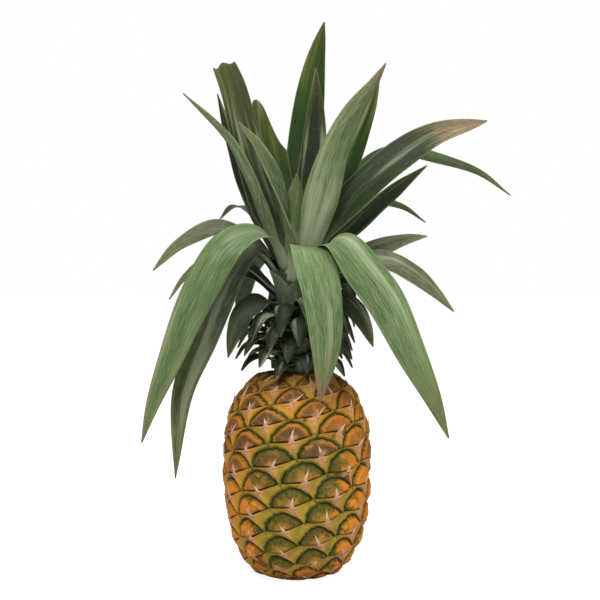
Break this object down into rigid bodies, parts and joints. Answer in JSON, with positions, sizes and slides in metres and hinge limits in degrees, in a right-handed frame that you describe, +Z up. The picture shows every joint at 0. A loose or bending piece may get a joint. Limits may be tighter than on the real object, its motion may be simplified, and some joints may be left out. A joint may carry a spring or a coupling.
{
  "type": "pineapple",
  "caption": "Whole ripe pineapple: a barrel of raised spiral eyes with a stubby collar and a spray of long upright and drooping crown leaves.",
  "frame": {"origin": "centre of the flat patch at the bottom of the fruit, where it stands", "axes": "+Z up the fruit's core to the crown; -Y is the side seen in the picture and +X its right"},
  "size_m": [0.2961, 0.1622, 0.4461],
  "materials": {
    "rind": "waxy natural rind, orange and olive green",
    "leaf": "satin living leaf, mid green with silvery lines",
    "collar": "satin living leaf, dark green"
  },
  "bodies": {
    "root": {"fruit": "rind", "crown_stem": "collar", "leaf_heart": "leaf", "leaf_upright_back_inner": "leaf", "leaf_upright_left_inner": "leaf", "leaf_upright_front_broad": "leaf", "leaf_upright_right_behind": "leaf", "leaf_upright_back_tall": "leaf", "leaf_upright_left_blunt": "leaf", "leaf_upright_front_left": "leaf", "leaf_slim_left": "leaf", "leaf_arch_right_broad": "leaf", "leaf_upright_left_outer": "leaf", "leaf_arch_right_under": "leaf", "leaf_arch_far_right": "leaf", "leaf_arch_right_slim": "leaf", "leaf_spread_right_small": "leaf", "leaf_spread_right_low": "leaf", "leaf_spread_left_high": "leaf", "leaf_spread_left_low": "leaf", "leaf_droop_left_inner": "leaf", "leaf_droop_left_front": "leaf", "leaf_droop_front": "leaf", "leaf_droop_right_front": "leaf", "leaf_short_left": "leaf", "leaf_short_right": "leaf", "leaf_upright_back_hidden": "leaf", "leaf_upright_left_hidden": "leaf", "leaf_spread_back_right": "leaf", "leaf_spread_back_left": "leaf", "leaf_droop_back": "leaf", "leaf_droop_back_right": "leaf", "leaf_droop_back_left": "leaf", "leaf_droop_left_behind": "leaf", "leaf_droop_right_behind": "leaf", "leaf_low_back_right": "leaf", "leaf_low_back_left": "leaf"}
  },
  "joints": []
}
